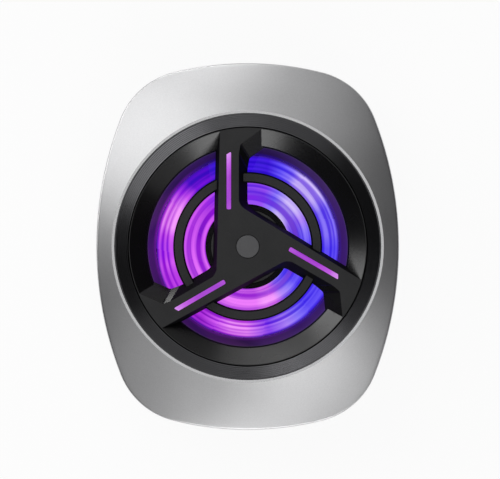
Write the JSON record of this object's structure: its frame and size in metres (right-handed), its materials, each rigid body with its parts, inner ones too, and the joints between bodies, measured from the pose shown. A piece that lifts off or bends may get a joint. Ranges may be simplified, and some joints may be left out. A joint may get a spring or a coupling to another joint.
{
  "type": "phone cooling fan",
  "caption": "Magnetic phone cooler: rounded silver shell, black grooved ring, pinwheel grille with light bars, lit fan, heat sink, cooling element and contact pad.",
  "frame": {"origin": "centre of the contact face that lies against the phone, at the bottom of the overall box", "axes": "+Z along the fan axis and out of the front, +Y to the end away from the power socket, +X to the right seen from the front"},
  "size_m": [0.07, 0.085, 0.0263],
  "materials": {
    "shell_silver": "bead blasted and clear anodised, with a polished inner edge",
    "trim_black": "satin black, finely grooved",
    "grille_black": "fine satin",
    "badge_grey": "plain satin",
    "light_guide": "milky, lit violet",
    "diffuser_violet": "tinted, lit from behind",
    "board_green": "solder mask",
    "lamp_white": "milky lens",
    "blade_violet": "translucent, lit blue and violet",
    "motor_steel": "zinc plated",
    "ferrite_grey": "dull",
    "frame_black": "satin",
    "bearing_bronze": "oiled",
    "coil_copper": "enamelled wire",
    "screw_steel": "nickel plated",
    "screw_black": "black oxide",
    "sink_alloy": "die cast, plain",
    "ceramic_white": "unglazed",
    "pellet_grey": "dull",
    "seal_foam": "closed-cell foam",
    "pad_grey": "soft, dull",
    "contact_silicone": "soft, matte",
    "magnet_nickel": "nickel plated",
    "casing_black": "fine grain",
    "chip_black": "moulded",
    "socket_nickel": "nickel plated",
    "lead_red": "satin insulation",
    "lead_black": "satin insulation"
  },
  "bodies": {
    "housing": {"front_shell": "shell_silver", "trim_ring": "trim_black", "front_grille": "grille_black", "hub_badge": "badge_grey", "light_bar_1": "light_guide", "light_bar_2": "light_guide", "light_bar_3": "light_guide", "grille_screws": "screw_steel", "diffuser_ring": "diffuser_violet", "lamp_board": "board_green", "side_lamps": "lamp_white", "bar_lamps": "lamp_white", "fan_frame": "frame_black", "thrust_plate": "screw_steel", "bearing_sleeve": "bearing_bronze", "motor_board": "board_green", "stator_core": "motor_steel", "stator_coils": "coil_copper", "fan_screws": "screw_steel", "heat_sink": "sink_alloy", "sink_screws": "screw_steel", "hot_ceramic": "ceramic_white", "pellets": "pellet_grey", "cold_ceramic": "ceramic_white", "element_seal": "seal_foam", "cold_plate": "sink_alloy", "thermal_pad": "pad_grey", "contact_ring": "contact_silicone", "magnets": "magnet_nickel", "magnet_yoke": "motor_steel", "mid_frame": "casing_black", "rear_cover": "casing_black", "case_screws": "screw_black", "control_board": "board_green", "board_parts": "chip_black", "socket_shell": "socket_nickel", "socket_tongue": "chip_black", "board_screws": "screw_steel", "element_leads": "lead_red", "fan_lead": "lead_black"},
    "rotor": {"impeller": "blade_violet", "hub_cap": "grille_black", "rotor_yoke": "motor_steel", "rotor_magnet": "ferrite_grey", "fan_shaft": "screw_steel", "shaft_clip": "screw_steel"}
  },
  "joints": [
    {"name": "fan_spin", "type": "hinge", "parent": "housing", "child": "rotor", "pos_m": [0, 0, 0.0187], "axis": [0, 0, 1], "continuous": true}
  ]
}
